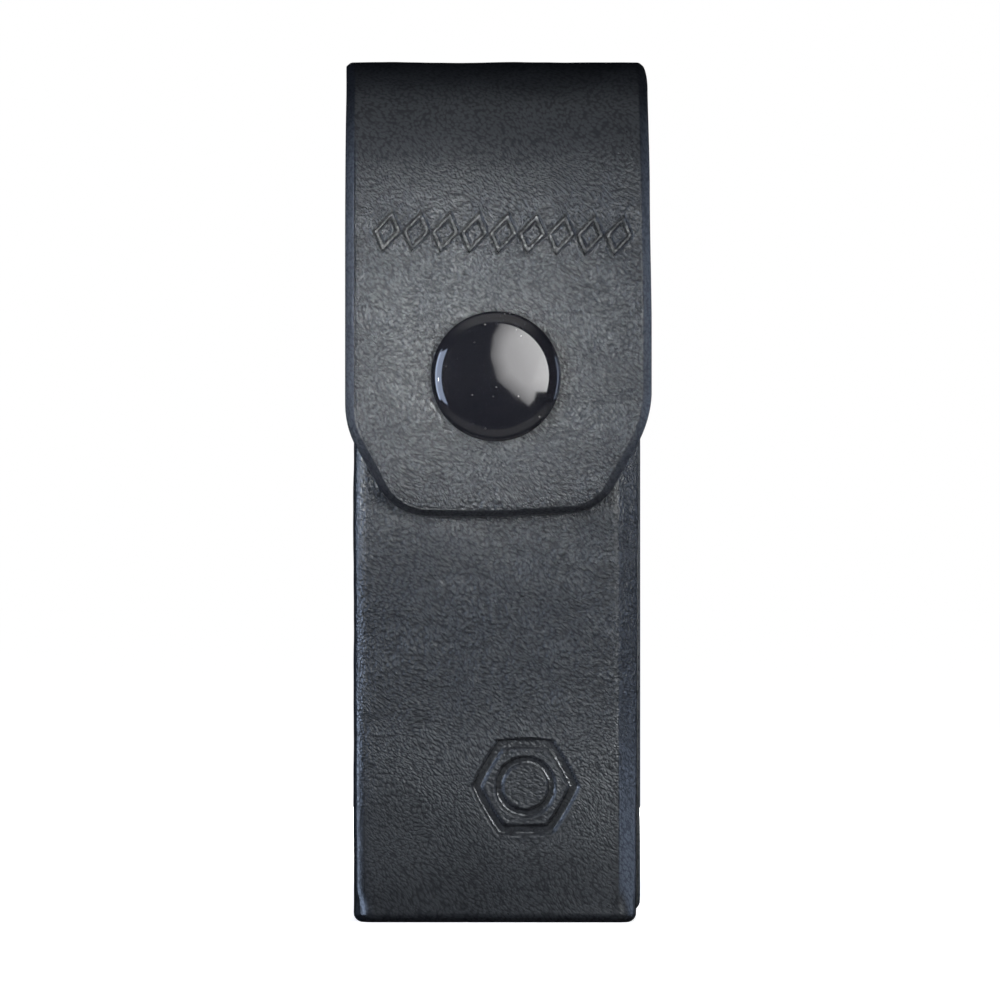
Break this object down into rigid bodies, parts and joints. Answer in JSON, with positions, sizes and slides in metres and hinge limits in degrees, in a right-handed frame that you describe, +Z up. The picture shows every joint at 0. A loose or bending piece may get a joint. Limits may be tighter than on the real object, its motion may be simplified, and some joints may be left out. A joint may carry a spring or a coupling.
{
  "type": "multi tool belt sheath",
  "caption": "Upright black leather belt sheath for a folding multi tool: moulded box pocket, snap-closed flap over the top and a riveted belt loop behind.",
  "frame": {"origin": "centre of the bounding box's lower face: mid width, mid depth, on the pocket's base", "axes": "+Z up along the sheath's length towards the fold, -Y out of the front face with the press stud, +X to the right as seen from the front"},
  "size_m": [0.0386, 0.0376, 0.108],
  "materials": {
    "black_leather": "smooth full-grain hide, dyed near black, satin wax finish",
    "suede_lining": "black split suede, matte",
    "waxed_thread": "waxed bonded polyester thread, twisted",
    "black_enamel": "baked gloss black enamel on brass",
    "nickelled_brass": "nickel plate on stamped brass",
    "spring_wire": "drawn spring wire"
  },
  "bodies": {
    "pouch": {"front_shell": "black_leather", "back_panel": "black_leather", "belt_loop": "black_leather", "shell_lining": "suede_lining", "back_lining": "suede_lining", "left_seam_thread": "waxed_thread", "right_seam_thread": "waxed_thread", "base_seam_thread": "waxed_thread", "rivet_caps": "black_enamel", "snap_stud": "nickelled_brass", "stud_post": "nickelled_brass", "rivet_posts": "nickelled_brass"},
    "flap_bridge": {"flap_bridge": "black_leather", "bridge_lining": "suede_lining"},
    "flap_front": {"flap_front": "black_leather", "flap_lining": "suede_lining", "snap_cap": "black_enamel", "cap_post": "nickelled_brass", "snap_socket": "nickelled_brass", "socket_spring": "spring_wire"}
  },
  "joints": [
    {"name": "flap_fold", "type": "hinge", "parent": "pouch", "child": "flap_bridge", "pos_m": [0, 0.0115, 0.1071], "axis": [-1, 0, 0], "range_deg": [0, 170]},
    {"name": "flap_shoulder", "type": "hinge", "parent": "flap_bridge", "child": "flap_front", "pos_m": [0, -0.01178, 0.10194], "axis": [-1, 0, 0], "range_deg": [0, 60]}
  ]
}
